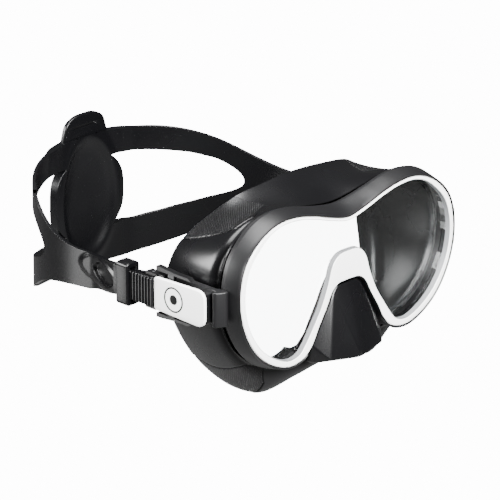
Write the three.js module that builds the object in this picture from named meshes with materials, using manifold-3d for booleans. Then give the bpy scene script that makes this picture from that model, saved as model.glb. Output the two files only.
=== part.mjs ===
// Low-volume diving mask: one flat lens in a rigid frame, a soft skirt with a nose
// pocket, two squeeze-release buckles and a split head strap.
//
// Millimetres. +X is the wearer's left, seen by someone facing the lens on their right.
// +Y runs from the lens to the back of the head, +Z is up. The origin is the wearer's
// nose bridge, on the mask's mid plane. "Depth" is the distance behind the lens trim's
// front face.

import * as THREE from "three";
import { mergeVertices } from "three/addons/utils/BufferGeometryUtils.js";
import { ConvexGeometry } from "three/addons/geometries/ConvexGeometry.js";
import Module from "manifold-3d";

const wasm = await Module();
wasm.setup();

// ---- driving dimensions ----

const FRONT_Y = -30;
const GAP = 0.3;

const TRIM_THICKNESS = 3;
const LENS_THICKNESS = 4;
const LENS_LAP = 0.3;
const FRAME_FRONT = 0.8;
const FRAME_SHOULDER = 9.5;
const FRAME_REAR = 12;
const FRAME_LEDGE = TRIM_THICKNESS + LENS_THICKNESS + 2 * GAP;

const SKIRT_FRONT = FRAME_REAR + 0.4;
const SKIRT_PLATE = 2.6;
const SKIRT_WALL = 2.4;
const LIP_WIDTH = 11;
const LIP_RISE = 3.5;
const LIP_THICKNESS = 1.6;

const BUCKLE_Z = -4.6;
const BUCKLE_FRONT = 12.6;
const BUCKLE_REAR = 46.8;
const BUCKLE_INNER_X = 81.9;
const BUCKLE_FLOOR = 1.3;
const BUCKLE_OUTER_X = 86.3;
const BUCKLE_WALL = 1.4;
const BUCKLE_HALF_FRONT = 9.3;
const BUCKLE_HALF_REAR = 8.2;
const CAP_THICKNESS = 2;
const PIVOT_DEPTH = 25;
const PIVOT_RADIUS = 2;
const PIVOT_HEAD_RADIUS = 3.6;

const ROLLER_DEPTH = 50.8;
const ROLLER_X = 85;
const ROLLER_RADIUS = 1.7;
const ROLLER_BORE = 1;
const ROLLER_PIN_RADIUS = 0.7;

const TAB_THICKNESS = 2.2;
const TAB_TRAVEL = 1.5;
const TAB_FRONT = 24;
const TAB_REAR = 45;
const STEM_DEPTH = 38;
const STEM_LENGTH = 4;
const SPRING_RADIUS = 1;
const SPRING_WIRE = 0.25;
const SPRING_TURNS = 5;

const STRAP_THICKNESS = 1.6;
const STRAP_TAIL_END = 74;
const ARM_HALF_HEIGHT = 8.6;
const TAIL_HALF_HEIGHT = 7.5;
const LOOP_HALF_WIDTH = 77;
const LOOP_CENTRE_DEPTH = 104;
const LOOP_BACK_DEPTH = 190;
const LOOP_ROUNDNESS = 0.9; // 1 is an ellipse, less is squarer
const PAD_THICKNESS = 6;
const RIB_COUNT = 6;
const RIB_PITCH = 2.1;
const KEEPER_DEPTH = 63;
const KEEPER_WIDTH = 8;
const KEEPER_WALL = 1.4;

// The strap's heights at bearings round the loop: bearing in degrees, top edge, top and
// bottom of the side window, bottom edge. The straight arm ends and the loop starts at 0.
const STRAP = [
  [-90, 2.9, -4.6, -4.6, -12.1],
  [-50, 3.2, -5, -5, -13.4],
  [-20, -0.4, -9, -9, -17.6],
  [0, -2, -11, -11, -20.9],
  [10, -2.2, -12, -12, -23.1],
  [18, 0.6, -12, -12, -25.6],
  [25, 3.4, -12, -13.2, -28.4],
  [30, 6.6, -5.2, -18.6, -32],
  [36, 9.4, -1.8, -22, -36.6],
  [46, 13.2, 0.9, -26.3, -43.5],
  [58, 16, 2.8, -30.3, -48.9],
  [70, 17.2, 4.5, -32.8, -51.8],
  [78, 18.1, 4.8, -33.2, -52.6],
  [91, 18.9, 4.4, -33, -53],
];
const [WINDOW_START, WINDOW_END] = [25, 76];
const YOKE_TOP = 18.8;

// The lens rim, right half, from the top of the mid plane round to the nose notch:
// trim outer edge x and z, lens window x and z, and how far the frame flares past the trim.
const RIM = [
  [0, 23.7, 0, 22.3, 5.6],
  [12, 26.3, 12, 24.9, 4.4],
  [23.5, 30, 23.5, 28.6, 3.2],
  [35, 32.6, 35, 31.2, 3.2],
  [46, 33, 46, 31.4, 3.2],
  [55.5, 30.5, 54.3, 28.7, 3.2],
  [64.5, 24.8, 62, 22.8, 3],
  [71.5, 16.3, 68.5, 15, 3],
  [74.8, 5, 71.8, 4.4, 3],
  [74.6, -7, 71.6, -6.8, 3],
  [71, -19.5, 68, -18.4, 3],
  [63.5, -31.5, 60.8, -29.3, 3],
  [53, -39.8, 51, -36.8, 3],
  [41.5, -43.8, 41.2, -40.4, 2.5],
  [32, -42.3, 34.4, -38.9, 1.2],
  [26, -37.5, 30.6, -35, -0.4],
  [20.5, -28, 25, -27, -0.4],
  [15.3, -19.5, 19.9, -19, -0.4],
  [11.2, -12.2, 15.2, -8.5, -0.4],
  [7.2, -9.3, 11.6, 1.8, -0.4],
  [3.5, -8.9, 7, 6, -0.4],
  [0, -8.8, 0, 6.8, -0.4],
];

// The skirt, right half, from the top of the mid plane round to the upper lip:
// front edge x and z, middle x, depth and z, rear edge x, depth and z.
const SKIRT = [
  [0, 28.8, 0, 25, 33.6, 0, 39.5, 38.2],
  [22, 31.8, 21.5, 26, 34, 21, 39.5, 37],
  [40, 35, 40, 27, 31.8, 39, 41.5, 33.8],
  [55, 32.4, 54, 28, 28.2, 50, 45, 28],
  [68, 24.5, 66, 30, 22, 60, 49, 21],
  [75.5, 12, 74, 33, 12, 67.5, 53, 12],
  [77.2, -3, 76.6, 34, -4, 71.5, 56.5, -5],
  [75.5, -16, 75.6, 32, -19, 71, 54, -21],
  [69, -29.5, 70, 28, -35, 66, 48.5, -38],
  [58.5, -39.5, 59.5, 28, -50, 59, 42, -51],
  [47, -45, 47.5, 24.5, -60, 49, 36, -60.5],
  [37, -46.8, 38, 21, -63.3, 38, 33, -64],
  [19, -49, 20, 17, -59, 20, 29, -60],
  [0, -49, 0, 16, -56, 0, 28, -58],
];

// Nose pocket corners on one side: x, depth, z.
const NOSE_OUTER = [
  [7, 1.5, -10.4], [7, 13.5, -10.4],
  [10.2, 1.2, -13], [10.2, 13.5, -13],
  [24.2, 2, -38], [24.2, 13.5, -38],
  [23, 3, -48], [23, 13.5, -48],
  [18.5, -5.4, -45.5],
  [0, 0.8, -10.2], [0, -9.4, -47.3], [0, 13.5, -50],
];
const NOSE_INNER = [
  [5.5, 3.5, -12.8], [5.5, 18, -12.8],
  [8, 3.2, -14.8], [8, 18, -14.8],
  [21.5, 4, -38.4], [21.5, 18, -38.4],
  [20.4, 5, -45.4], [20.4, 18, -45.4],
  [16.4, -3.2, -43.2],
  [0, 3.2, -13], [0, -6.6, -44.8], [0, 18, -46.2],
];

const MATERIALS = {
  glass: { color: 0xdfe6e8, roughness: 0.05, metalness: 0 },
  white: { color: 0xf4f4f2, roughness: 0.35, metalness: 0 },
  frame: { color: 0x2b2b2d, roughness: 0.45, metalness: 0 },
  silicone: { color: 0x1d1d1f, roughness: 0.55, metalness: 0 },
  nylon: { color: 0x232325, roughness: 0.5, metalness: 0 },
  steel: { color: 0xb9bcc0, roughness: 0.3, metalness: 1 },
};

// ---- solids ----

function at(x, depth, z) {
  return new THREE.Vector3(x, FRONT_Y + depth, z);
}

function toSolid(geometry) {
  const bare = geometry.clone();
  bare.deleteAttribute("normal");
  bare.deleteAttribute("uv");
  const merged = mergeVertices(bare, 1e-4);
  const vertProperties = new Float32Array(merged.attributes.position.array);
  const triVerts = new Uint32Array(merged.index.array);
  return new wasm.Manifold(new wasm.Mesh({ numProp: 3, vertProperties, triVerts }));
}

function toGeometry(solid) {
  const mesh = solid.getMesh();
  const geometry = new THREE.BufferGeometry();
  geometry.setAttribute("position", new THREE.BufferAttribute(new Float32Array(mesh.vertProperties), 3));
  geometry.setIndex(new THREE.BufferAttribute(new Uint32Array(mesh.triVerts), 1));
  geometry.computeVertexNormals();
  return geometry;
}

// Joins rings of equal length into a closed solid: a tube with capped ends, or a torus.
function loft(rings, closesOnItself = false) {
  const count = rings[0].length;
  const positions = rings.flat().flatMap((point) => point.toArray());
  const indices = [];
  const bands = closesOnItself ? rings.length : rings.length - 1;
  for (let band = 0; band < bands; band += 1) {
    const near = band * count;
    const far = ((band + 1) % rings.length) * count;
    for (let i = 0; i < count; i += 1) {
      const next = (i + 1) % count;
      indices.push(near + i, near + next, far + next);
      indices.push(near + i, far + next, far + i);
    }
  }
  if (!closesOnItself) {
    const first = rings[0].map((_, i) => i);
    const last = first.map((i) => i + (rings.length - 1) * count);
    for (const [a, b, c] of capTriangles(rings[0])) {
      indices.push(first[c], first[b], first[a]);
    }
    for (const [a, b, c] of capTriangles(rings[rings.length - 1])) {
      indices.push(last[a], last[b], last[c]);
    }
  }
  const geometry = new THREE.BufferGeometry();
  geometry.setAttribute("position", new THREE.Float32BufferAttribute(positions, 3));
  geometry.setIndex(indices);
  return facingOut(geometry);
}

// Triangulates a flat ring in its own plane, keeping the ring's turning direction.
function capTriangles(ring) {
  const normal = new THREE.Vector3();
  ring.forEach((point, i) => {
    normal.add(new THREE.Vector3().crossVectors(point, ring[(i + 1) % ring.length]));
  });
  const turn = new THREE.Quaternion().setFromUnitVectors(normal.normalize(), new THREE.Vector3(0, 0, 1));
  const flat = ring.map((point) => {
    const turned = point.clone().applyQuaternion(turn);
    return new THREE.Vector2(turned.x, turned.y);
  });
  return THREE.ShapeUtils.triangulateShape(flat, []);
}

function signedVolume(geometry) {
  const position = geometry.attributes.position;
  const index = geometry.index.array;
  const corners = [new THREE.Vector3(), new THREE.Vector3(), new THREE.Vector3()];
  let sum = 0;
  for (let i = 0; i < index.length; i += 3) {
    corners.forEach((corner, k) => corner.fromBufferAttribute(position, index[i + k]));
    sum += corners[0].dot(corners[1].clone().cross(corners[2])) / 6;
  }
  return sum;
}

function facingOut(geometry) {
  if (signedVolume(geometry) < 0) {
    geometry.index.array.reverse();
  }
  return geometry;
}

// A flat plate seen from the front: outline in x and z, between two depths.
function plate(outline, depthFrom, depthTo) {
  const shape = new THREE.Shape(outline.map((point) => new THREE.Vector2(point.x, point.z)));
  const geometry = new THREE.ExtrudeGeometry(shape, { depth: depthTo - depthFrom, bevelEnabled: false });
  geometry.rotateX(Math.PI / 2);
  geometry.translate(0, FRONT_Y + depthTo, 0);
  return geometry;
}

// A slab seen from the side: outline in depth and z, between two x.
function sideSlab(outline, xFrom, xTo) {
  const points = outline.map((point) => new THREE.Vector2(point.x + FRONT_Y, point.y));
  const geometry = new THREE.ExtrudeGeometry(new THREE.Shape(points), {
    depth: xTo - xFrom,
    bevelEnabled: false,
  });
  geometry.rotateX(Math.PI / 2);
  geometry.rotateZ(Math.PI / 2);
  geometry.translate(xFrom, 0, 0);
  return geometry;
}

// A prism seen from above: outline in x and depth, between two z.
function planPrism(outline, zFrom, zTo) {
  const points = outline.map(([x, depth]) => new THREE.Vector2(x, depth + FRONT_Y));
  const geometry = new THREE.ExtrudeGeometry(new THREE.Shape(points), {
    depth: zTo - zFrom,
    bevelEnabled: false,
  });
  geometry.translate(0, 0, zFrom);
  return geometry;
}

function box(xFrom, xTo, depthFrom, depthTo, zFrom, zTo) {
  const geometry = new THREE.BoxGeometry(xTo - xFrom, depthTo - depthFrom, zTo - zFrom);
  geometry.translate((xFrom + xTo) / 2, FRONT_Y + (depthFrom + depthTo) / 2, (zFrom + zTo) / 2);
  return geometry;
}

function cylinderX(radius, xFrom, xTo, depth, z) {
  const geometry = new THREE.CylinderGeometry(radius, radius, xTo - xFrom, 24);
  geometry.rotateZ(Math.PI / 2);
  geometry.translate((xFrom + xTo) / 2, FRONT_Y + depth, z);
  return geometry;
}

function cylinderZ(radius, x, depth, zFrom, zTo) {
  const geometry = new THREE.CylinderGeometry(radius, radius, zTo - zFrom, 20);
  geometry.rotateX(Math.PI / 2);
  geometry.translate(x, FRONT_Y + depth, (zFrom + zTo) / 2);
  return geometry;
}

function cut(geometry, ...tools) {
  return toGeometry(tools.reduce((solid, tool) => solid.subtract(toSolid(tool)), toSolid(geometry)));
}

function join(geometry, ...others) {
  return toGeometry(others.reduce((solid, other) => solid.add(toSolid(other)), toSolid(geometry)));
}

function mirrored(geometry) {
  const copy = mergeVertices(geometry.clone().deleteAttribute("uv"));
  copy.scale(-1, 1, 1);
  copy.index.array.reverse();
  return copy;
}

// ---- outlines ----

// A closed smooth outline through half a table of points and their mirror images.
function mirrorSpline(rows, pick, samples) {
  const half = rows.map(pick);
  const otherHalf = half.slice(1, -1).reverse();
  const points = half.concat(otherHalf.map((point) => new THREE.Vector3(-point.x, point.y, point.z)));
  const curve = new THREE.CatmullRomCurve3(points, true, "centripetal");
  return curve.getPoints(points.length * samples).slice(0, -1);
}

// Unit normals of an outline in the x-z plane, pointing away from the enclosed area.
function outwardNormals(points) {
  return points.map((point, i) => {
    const before = points[(i + points.length - 1) % points.length];
    const after = points[(i + 1) % points.length];
    return new THREE.Vector3(before.z - after.z, 0, after.x - before.x).normalize();
  });
}

function offset(points, distances) {
  const normals = outwardNormals(points);
  return points.map((point, i) => point.clone().addScaledVector(normals[i], distances[i] ?? distances));
}

const RIM_SAMPLES = 3;
const rimOuter = mirrorSpline(RIM, ([x, z]) => new THREE.Vector3(x, 0, z), RIM_SAMPLES);
const rimWindow = mirrorSpline(RIM, ([, , x, z]) => new THREE.Vector3(x, 0, z), RIM_SAMPLES);
const rimFlare = mirrorSpline(RIM, ([x, z, , , flare]) => new THREE.Vector3(x, flare, z), RIM_SAMPLES)
  .map((point) => point.y);
const lensEdge = rimWindow.map((point, i) => point.clone().lerp(rimOuter[i], LENS_LAP));

// ---- lens, trim and frame ----

function makeTrim() {
  return cut(plate(rimOuter, 0, TRIM_THICKNESS), plate(rimWindow, -1, TRIM_THICKNESS + 1));
}

function makeLens() {
  const front = TRIM_THICKNESS + GAP;
  return plate(lensEdge, front, front + LENS_THICKNESS);
}

function ringAt(points, depth) {
  return points.map((point) => at(point.x, depth, point.z));
}

function makeFrame() {
  const frontFlare = rimFlare.map((flare) => Math.min(flare, 1));
  const rearFlare = rimFlare.map((flare) => (flare > 1 ? flare - 0.8 : flare));
  const block = loft([
    ringAt(offset(rimOuter, frontFlare), FRAME_FRONT),
    ringAt(offset(rimOuter, rimFlare), FRAME_SHOULDER),
    ringAt(offset(rimOuter, rearFlare), FRAME_REAR),
  ]);
  const seat = TRIM_THICKNESS + GAP;
  const trimPocket = plate(offset(rimOuter, GAP), -1, seat);
  const lensPocket = plate(offset(lensEdge, GAP), seat - 0.1, FRAME_LEDGE);
  const opening = plate(rimWindow, FRAME_LEDGE - 0.1, FRAME_REAR + 1);
  return cut(block, trimPocket, lensPocket, opening);
}

// ---- skirt ----

const SKIRT_SAMPLES = 3;

function skirtSection(front, middle, rear, out) {
  const path = new THREE.QuadraticBezierCurve3(
    front,
    middle.clone().multiplyScalar(2).sub(front.clone().lerp(rear, 0.5)),
    rear,
  );
  const inward = (point, distance, forward) => {
    const moved = point.clone().addScaledVector(out, -distance);
    moved.y -= forward;
    return moved;
  };
  const outer = path.getPoints(4);
  const inner = outer.map((point) => inward(point, SKIRT_WALL, 0)).reverse();
  inner[0] = inward(rear, SKIRT_WALL, LIP_RISE);
  inner[inner.length - 1].y = FRONT_Y + SKIRT_FRONT + SKIRT_PLATE;
  const lip = [
    inward(rear, LIP_WIDTH, LIP_RISE - LIP_THICKNESS),
    inward(rear, LIP_WIDTH, LIP_RISE),
  ];
  return [...outer, ...lip, ...inner];
}

function makeSkirt() {
  const front = mirrorSpline(SKIRT, ([x, z]) => at(x, SKIRT_FRONT, z), SKIRT_SAMPLES);
  const middle = mirrorSpline(SKIRT, (row) => at(row[2], row[3], row[4]), SKIRT_SAMPLES);
  const rear = mirrorSpline(SKIRT, (row) => at(row[5], row[6], row[7]), SKIRT_SAMPLES);
  const normals = outwardNormals(rear);
  const sections = rear.map((point, i) => skirtSection(front[i], middle[i], point, normals[i]));
  const shell = loft(sections, true);
  const seatPlate = plate(offset(front, -1), SKIRT_FRONT, SKIRT_FRONT + SKIRT_PLATE);
  const seat = cut(seatPlate, plate(rimWindow, SKIRT_FRONT - 1, SKIRT_FRONT + SKIRT_PLATE + 1));
  const bothSides = (corners) =>
    corners.flatMap(([x, depth, z]) => (x === 0 ? [at(0, depth, z)] : [at(x, depth, z), at(-x, depth, z)]));
  const nose = new ConvexGeometry(bothSides(NOSE_OUTER));
  const nostril = new ConvexGeometry(bothSides(NOSE_INNER));
  return cut(join(shell, seat, nose), nostril);
}

// ---- buckles, made for the +X side ----

function buckleOutline(frontHalf, rearHalf, front, rear, corner) {
  const shape = new THREE.Shape();
  shape.moveTo(front + corner, BUCKLE_Z - frontHalf);
  shape.lineTo(rear - corner / 2, BUCKLE_Z - rearHalf);
  shape.quadraticCurveTo(rear, BUCKLE_Z - rearHalf, rear, BUCKLE_Z - rearHalf + corner / 2);
  shape.lineTo(rear, BUCKLE_Z + rearHalf - corner / 2);
  shape.quadraticCurveTo(rear, BUCKLE_Z + rearHalf, rear - corner / 2, BUCKLE_Z + rearHalf);
  shape.lineTo(front + corner, BUCKLE_Z + frontHalf);
  shape.quadraticCurveTo(front, BUCKLE_Z + frontHalf, front, BUCKLE_Z + frontHalf - corner);
  shape.lineTo(front, BUCKLE_Z - frontHalf + corner);
  shape.quadraticCurveTo(front, BUCKLE_Z - frontHalf, front + corner, BUCKLE_Z - frontHalf);
  return shape.getPoints(4).slice(0, -1);
}

function makeLug() {
  const plan = [
    [78.5, 6.4], [79.6, 6.2], [84.2, 9.4], [84.2, 10.2], [81.4, 10.4],
    [81.4, 32], [79.4, 32], [79.4, 12.8], [78.5, 11.6],
  ];
  const arm = planPrism(plan, BUCKLE_Z - 9, BUCKLE_Z + 9);
  return cut(arm, cylinderX(PIVOT_RADIUS + GAP, 75, 90, PIVOT_DEPTH, BUCKLE_Z));
}

function makePivotPin() {
  const shank = cylinderX(PIVOT_RADIUS, 79.4, 84, PIVOT_DEPTH, BUCKLE_Z);
  const headFrom = BUCKLE_INNER_X + BUCKLE_FLOOR + GAP;
  return join(shank, cylinderX(PIVOT_HEAD_RADIUS, headFrom, headFrom + 1.4, PIVOT_DEPTH, BUCKLE_Z));
}

function makeBuckleBody() {
  const outside = buckleOutline(BUCKLE_HALF_FRONT, BUCKLE_HALF_REAR, BUCKLE_FRONT, BUCKLE_REAR, 3.6);
  const block = sideSlab(outside, BUCKLE_INNER_X, BUCKLE_OUTER_X);
  const insideHalf = BUCKLE_HALF_REAR - BUCKLE_WALL;
  const cavity = box(
    BUCKLE_INNER_X + BUCKLE_FLOOR, BUCKLE_OUTER_X + 1,
    BUCKLE_FRONT + 3, BUCKLE_REAR + 1,
    BUCKLE_Z - insideHalf, BUCKLE_Z + insideHalf,
  );
  const cheeks = [1, -1].flatMap((side) => {
    const edges = [BUCKLE_HALF_REAR - 0.2, BUCKLE_HALF_REAR + BUCKLE_WALL - 0.2];
    const [low, high] = edges.map((edge) => BUCKLE_Z + side * edge).sort((a, b) => a - b);
    return [
      box(82.6, BUCKLE_OUTER_X, BUCKLE_REAR - 4, BUCKLE_REAR + 1, low, high),
      box(82.6, BUCKLE_OUTER_X + 1.1, BUCKLE_REAR + GAP, ROLLER_DEPTH + 3.4, low, high),
    ];
  });
  const pivotHole = cylinderX(PIVOT_RADIUS + GAP, 75, 90, PIVOT_DEPTH, BUCKLE_Z);
  const rollerHole = cylinderZ(
    ROLLER_PIN_RADIUS + GAP, ROLLER_X, ROLLER_DEPTH, BUCKLE_Z - 20, BUCKLE_Z + 20,
  );
  const stemSlot = box(
    83.5, BUCKLE_OUTER_X + 1,
    STEM_DEPTH - STEM_LENGTH / 2 - GAP, STEM_DEPTH + STEM_LENGTH / 2 + GAP,
    BUCKLE_Z - 12, BUCKLE_Z + 12,
  );
  return cut(join(block, ...cheeks), cavity, pivotHole, rollerHole, stemSlot);
}

function makeBuckleCap() {
  const from = BUCKLE_OUTER_X + GAP;
  const outline = buckleOutline(BUCKLE_HALF_FRONT - 0.2, BUCKLE_HALF_REAR, BUCKLE_FRONT + 0.2, BUCKLE_REAR, 3.4);
  return sideSlab(outline, from, from + CAP_THICKNESS);
}

// One release tab: a finger bar outside the buckle and a stem that reaches inside it.
function makeReleaseTab(side) {
  const inner = BUCKLE_HALF_FRONT + TAB_TRAVEL + GAP;
  const points = [
    new THREE.Vector2(TAB_FRONT, BUCKLE_Z + side * inner),
    new THREE.Vector2(TAB_REAR + 3, BUCKLE_Z + side * inner),
    new THREE.Vector2(TAB_REAR + 3, BUCKLE_Z + side * (inner + TAB_THICKNESS)),
    new THREE.Vector2(TAB_REAR, BUCKLE_Z + side * (inner + TAB_THICKNESS)),
    new THREE.Vector2((TAB_FRONT + TAB_REAR) / 2, BUCKLE_Z + side * (inner + TAB_THICKNESS * 0.6)),
    new THREE.Vector2(TAB_FRONT + 2, BUCKLE_Z + side * (inner + TAB_THICKNESS * 0.6)),
  ];
  const bar = sideSlab(points, 83, BUCKLE_OUTER_X - 0.2);
  const stemEdges = [BUCKLE_Z + side * 5, BUCKLE_Z + side * (inner + 0.5)];
  stemEdges.sort((a, b) => a - b);
  const stem = box(
    83.9, BUCKLE_OUTER_X - 0.4,
    STEM_DEPTH - STEM_LENGTH / 2, STEM_DEPTH + STEM_LENGTH / 2,
    stemEdges[0], stemEdges[1],
  );
  return join(bar, stem);
}

class Helix extends THREE.Curve {
  constructor(radius, turns, height) {
    super();
    Object.assign(this, { radius, turns, height });
  }

  getPoint(t, target = new THREE.Vector3()) {
    const angle = 2 * Math.PI * this.turns * t;
    return target.set(this.radius * Math.cos(angle), this.radius * Math.sin(angle), this.height * (t - 0.5));
  }
}

function makeReleaseSpring() {
  const wire = new THREE.Shape();
  wire.absarc(0, 0, SPRING_WIRE, 0, 2 * Math.PI);
  const span = 2 * (5 - GAP) - 2 * SPRING_WIRE;
  const geometry = new THREE.ExtrudeGeometry(wire, {
    steps: SPRING_TURNS * 10,
    curveSegments: 3,
    bevelEnabled: false,
    extrudePath: new Helix(SPRING_RADIUS, SPRING_TURNS, span),
  });
  geometry.translate(85, FRONT_Y + STEM_DEPTH, BUCKLE_Z);
  return geometry;
}

// A lever across the buckle whose toothed edge bears on the strap where it turns back.
function makePawl() {
  const half = BUCKLE_HALF_REAR - BUCKLE_WALL - GAP;
  const plan = [
    [84, 42], [85.4, 41.6], [86, 42.6], [85.6, 45.3], [84.9, 45.8], [84.6, 44.8], [84, 43.6],
  ];
  return planPrism(plan, BUCKLE_Z - half, BUCKLE_Z + half);
}

function makeRoller() {
  const half = BUCKLE_HALF_REAR - 0.2 - GAP;
  const drum = cylinderZ(ROLLER_RADIUS, ROLLER_X, ROLLER_DEPTH, BUCKLE_Z - half, BUCKLE_Z + half);
  return cut(drum, cylinderZ(ROLLER_BORE, ROLLER_X, ROLLER_DEPTH, BUCKLE_Z - 20, BUCKLE_Z + 20));
}

function makeRollerPin() {
  const half = BUCKLE_HALF_REAR + BUCKLE_WALL - 0.3;
  return cylinderZ(ROLLER_PIN_RADIUS, ROLLER_X, ROLLER_DEPTH, BUCKLE_Z - half, BUCKLE_Z + half);
}

// ---- strap ----

const WRAP_RADIUS = ROLLER_RADIUS + GAP + STRAP_THICKNESS / 2;

// The strap's plan, one side: x and depth of its mid surface at a bearing round the loop.
// Below 0 degrees it is the straight arm, from there to 90 degrees half of the head loop.
function loopPoint(bearing) {
  if (bearing < 0) {
    const depth = THREE.MathUtils.lerp(LOOP_CENTRE_DEPTH, ROLLER_DEPTH, -bearing / 90);
    const layered = ROLLER_X + WRAP_RADIUS - STRAP_THICKNESS - GAP / 2;
    const nearBuckle = THREE.MathUtils.lerp(ROLLER_X - WRAP_RADIUS, layered, smooth(ROLLER_DEPTH, 62, depth));
    return [THREE.MathUtils.lerp(nearBuckle, LOOP_HALF_WIDTH, smooth(74, LOOP_CENTRE_DEPTH, depth)), depth];
  }
  const angle = THREE.MathUtils.degToRad(bearing);
  return [
    LOOP_HALF_WIDTH * Math.abs(Math.cos(angle)) ** LOOP_ROUNDNESS * Math.sign(Math.cos(angle)),
    LOOP_CENTRE_DEPTH + (LOOP_BACK_DEPTH - LOOP_CENTRE_DEPTH) * Math.sin(angle) ** LOOP_ROUNDNESS,
  ];
}

function smooth(from, to, value) {
  return THREE.MathUtils.smoothstep(value, from, to);
}

// Heights of the strap's edges and of its side window at a bearing.
function strapHeights(bearing) {
  const after = Math.max(1, STRAP.findIndex((row) => row[0] > bearing));
  const [from, to] = [STRAP[after - 1], STRAP[after]];
  const share = (bearing - from[0]) / (to[0] - from[0]);
  const [, top, windowTop, windowBottom, bottom] = from.map((value, i) => value + (to[i] - value) * share);
  return { top, windowTop, windowBottom, bottom };
}

// A band of strap between two bearings, one side; heights gives its lower and upper edge.
function band(from, to, heights, steps, outside = STRAP_THICKNESS / 2) {
  const rings = [];
  for (let step = 0; step <= steps; step += 1) {
    const bearing = from + ((to - from) * step) / steps;
    const [x, depth] = loopPoint(bearing);
    const [xAfter, depthAfter] = loopPoint(bearing + 0.5);
    const [xBefore, depthBefore] = loopPoint(bearing - 0.5);
    const out = new THREE.Vector2(depthAfter - depthBefore, xBefore - xAfter).normalize();
    const [low, high] = heights(bearing);
    const inside = STRAP_THICKNESS / 2;
    rings.push([
      at(x + out.x * outside, depth + out.y * outside, low),
      at(x + out.x * outside, depth + out.y * outside, high),
      at(x - out.x * inside, depth - out.y * inside, high),
      at(x - out.x * inside, depth - out.y * inside, low),
    ]);
  }
  return loft(rings);
}

function makeStrapHalf() {
  const whole = (bearing) => [strapHeights(bearing).bottom, strapHeights(bearing).top];
  const upper = (bearing) => [strapHeights(bearing).windowTop, strapHeights(bearing).top];
  const lower = (bearing) => [strapHeights(bearing).bottom, strapHeights(bearing).windowBottom];
  const pad = (bearing) => [strapHeights(bearing).bottom + 3, strapHeights(bearing).top - 3];
  const arm = band(-90, WINDOW_START, whole, 16);
  const web = band(WINDOW_END, 90.2, whole, 3);
  const backPad = band(WINDOW_END, 90.2, pad, 3, PAD_THICKNESS);
  const rails = [upper, lower].map((heights) => band(WINDOW_START - 1, WINDOW_END + 1, heights, 13));
  return join(arm, web, backPad, ...rails);
}

// The strap turns round the roller and comes back outside as a ribbed tail.
function makeTail() {
  const low = BUCKLE_Z - TAIL_HALF_HEIGHT;
  const high = BUCKLE_Z + TAIL_HALF_HEIGHT;
  const turn = new THREE.Shape();
  const centreY = FRONT_Y + ROLLER_DEPTH;
  const outerRadius = WRAP_RADIUS + STRAP_THICKNESS / 2;
  const innerRadius = WRAP_RADIUS - STRAP_THICKNESS / 2;
  const tailEnd = FRONT_Y + STRAP_TAIL_END;
  turn.absarc(ROLLER_X, centreY, outerRadius, Math.PI, 2 * Math.PI, false);
  turn.lineTo(ROLLER_X + outerRadius, tailEnd);
  turn.lineTo(ROLLER_X + innerRadius + 0.4, tailEnd);
  turn.lineTo(ROLLER_X + innerRadius, centreY);
  turn.absarc(ROLLER_X, centreY, innerRadius, 2 * Math.PI, Math.PI, true);
  turn.lineTo(ROLLER_X - innerRadius, centreY + 1);
  turn.lineTo(ROLLER_X - outerRadius, centreY + 1);
  const tail = new THREE.ExtrudeGeometry(turn, { depth: high - low, curveSegments: 10, bevelEnabled: false });
  tail.translate(0, 0, low);
  const ribs = Array.from({ length: RIB_COUNT }, (_, i) => {
    const depth = ROLLER_DEPTH + 0.6 + i * RIB_PITCH;
    const face = ROLLER_X + outerRadius;
    return box(face - 0.2, face + 0.7, depth, depth + RIB_PITCH / 2, low, high);
  });
  return join(tail, ...ribs);
}

function makePullTab() {
  const outline = [
    [-15, YOKE_TOP - 1], [15, YOKE_TOP - 1], [14, YOKE_TOP + 4], [9.5, YOKE_TOP + 9.5],
    [4, YOKE_TOP + 11], [-4, YOKE_TOP + 11], [-9.5, YOKE_TOP + 9.5], [-14, YOKE_TOP + 4],
  ].map(([x, z]) => new THREE.Vector3(x, 0, z));
  const half = STRAP_THICKNESS / 2;
  const depth = LOOP_BACK_DEPTH - 0.3;
  const tab = plate(outline, depth - half - 0.4, depth + half);
  return cut(tab, box(-9, 9, depth - 5, depth + 5, YOKE_TOP + 4.6, YOKE_TOP + 6.8));
}

function makeStrap() {
  const half = join(makeStrapHalf(), makeTail());
  return join(half, mirrored(half), makePullTab());
}

// A ring round both layers of strap; it slides along the straight arm.
function makeKeeper() {
  const reach = ARM_HALF_HEIGHT + 0.6;
  const outer = new THREE.Shape();
  const inside = 83.5;
  const outside = 91;
  const half = reach + KEEPER_WALL;
  outer.moveTo(inside, BUCKLE_Z - half);
  outer.lineTo(outside, BUCKLE_Z - half);
  outer.lineTo(outside, BUCKLE_Z + half);
  outer.lineTo(inside, BUCKLE_Z + half);
  const hole = new THREE.Path();
  hole.moveTo(inside + KEEPER_WALL, BUCKLE_Z - reach);
  hole.lineTo(inside + KEEPER_WALL, BUCKLE_Z + reach);
  hole.lineTo(outside - KEEPER_WALL, BUCKLE_Z + reach);
  hole.lineTo(outside - KEEPER_WALL, BUCKLE_Z - reach);
  outer.holes = [hole];
  const geometry = new THREE.ExtrudeGeometry(outer, { depth: KEEPER_WIDTH, bevelEnabled: false });
  geometry.rotateX(Math.PI / 2);
  geometry.translate(0, FRONT_Y + KEEPER_DEPTH + KEEPER_WIDTH, 0);
  return geometry;
}

// ---- assembly ----

const mask = new THREE.Group();

function add(name, geometry, finish) {
  const mesh = new THREE.Mesh(geometry, new THREE.MeshStandardMaterial(MATERIALS[finish]));
  mesh.name = name;
  mask.add(mesh);
}

add("lens", makeLens(), "glass");
add("lens_trim", makeTrim(), "white");
add("frame", makeFrame(), "frame");
add("skirt", makeSkirt(), "silicone");
add("strap", makeStrap(), "silicone");

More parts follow.
